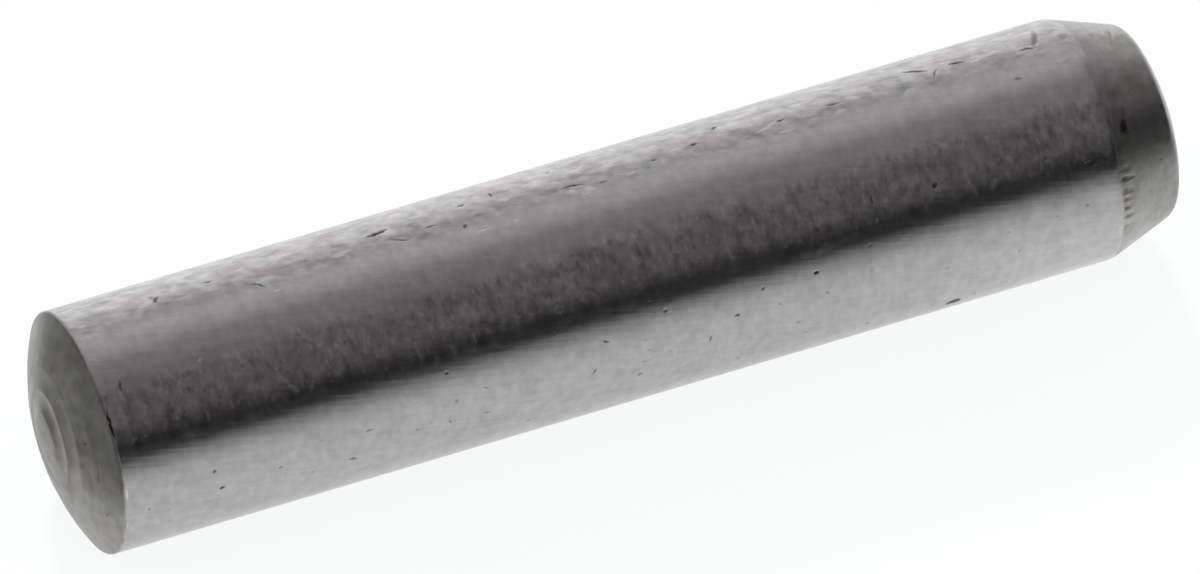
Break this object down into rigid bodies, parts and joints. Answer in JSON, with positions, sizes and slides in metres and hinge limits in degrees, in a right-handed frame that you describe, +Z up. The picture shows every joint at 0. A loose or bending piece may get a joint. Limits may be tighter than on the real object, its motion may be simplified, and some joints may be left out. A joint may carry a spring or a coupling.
{
  "type": "dowel pin",
  "caption": "Straight hardened steel dowel pin with a crowned end and a short tapered lead end.",
  "frame": {"origin": "on the pin's axis, halfway between its two ends", "axes": "+X along the axis towards the tapered lead end, +Z up as the pin lies"},
  "size_m": [0.024, 0.005, 0.005],
  "materials": {
    "ground_steel": "centreless ground, with turned ends"
  },
  "bodies": {
    "root": {"pin": "ground_steel"}
  },
  "joints": []
}
